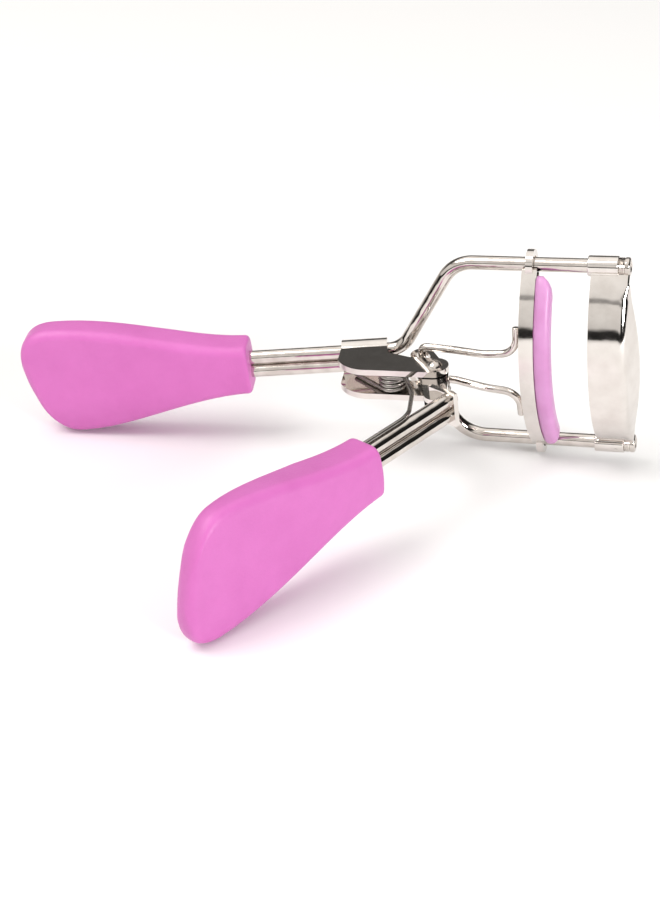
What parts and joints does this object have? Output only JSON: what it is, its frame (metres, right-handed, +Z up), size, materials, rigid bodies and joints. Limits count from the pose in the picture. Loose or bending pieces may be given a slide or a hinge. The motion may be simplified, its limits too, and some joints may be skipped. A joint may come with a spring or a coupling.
{
  "type": "eyelash curler",
  "caption": "Wire-frame eyelash curler: a sprung squeeze lever slides a curved jaw with a soft pad along two rods against a curved clamp plate.",
  "frame": {"origin": "centre of the bounding box's underside: the surface that the curler lies on", "axes": "+X towards the clamp plate, within six degrees of the guide rods; -Y to the side that the squeeze handle opens to; +Z up from the surface"},
  "size_m": [0.1014, 0.0736, 0.0375],
  "materials": {
    "nickel_steel": "polished nickel plate on steel",
    "spring_steel": "drawn spring wire",
    "grip_pink": "soft-touch moulded grip, fine matte grain",
    "pad_pink": "smooth silicone"
  },
  "bodies": {
    "frame": {"frame_wire_upper": "nickel_steel", "frame_wire_lower": "nickel_steel", "top_plate": "nickel_steel", "rod_cap_upper": "nickel_steel", "rod_cap_lower": "nickel_steel", "pivot_bracket": "nickel_steel", "pivot_pin": "nickel_steel", "torsion_spring": "spring_steel", "grip_fixed": "grip_pink"},
    "lever": {"lever_wire_upper": "nickel_steel", "lever_wire_lower": "nickel_steel", "crank": "nickel_steel", "grip_moving": "grip_pink"},
    "slider": {"slider_bar": "nickel_steel", "silicone_pad": "pad_pink", "yoke_wire_upper": "nickel_steel", "yoke_wire_lower": "nickel_steel"}
  },
  "joints": [
    {"name": "lever_squeeze", "type": "hinge", "parent": "frame", "child": "lever", "pos_m": [0.01926, 0.02323, 0.01636], "axis": [0.0964, 0.0883, -0.9914], "range_deg": [0, 50], "stiffness_Nm_per_rad": 0.03, "springref_deg": -40.11, "deforming": ["torsion_spring"]},
    {"name": "jaw_slide", "type": "slide", "parent": "frame", "child": "slider", "axis": [0.9953, 0, 0.0968], "range_m": [0, 0.0054]}
  ],
  "couplings": [
    {"joint": "jaw_slide", "follows": "lever_squeeze", "m_per_rad": 0.006073}
  ]
}
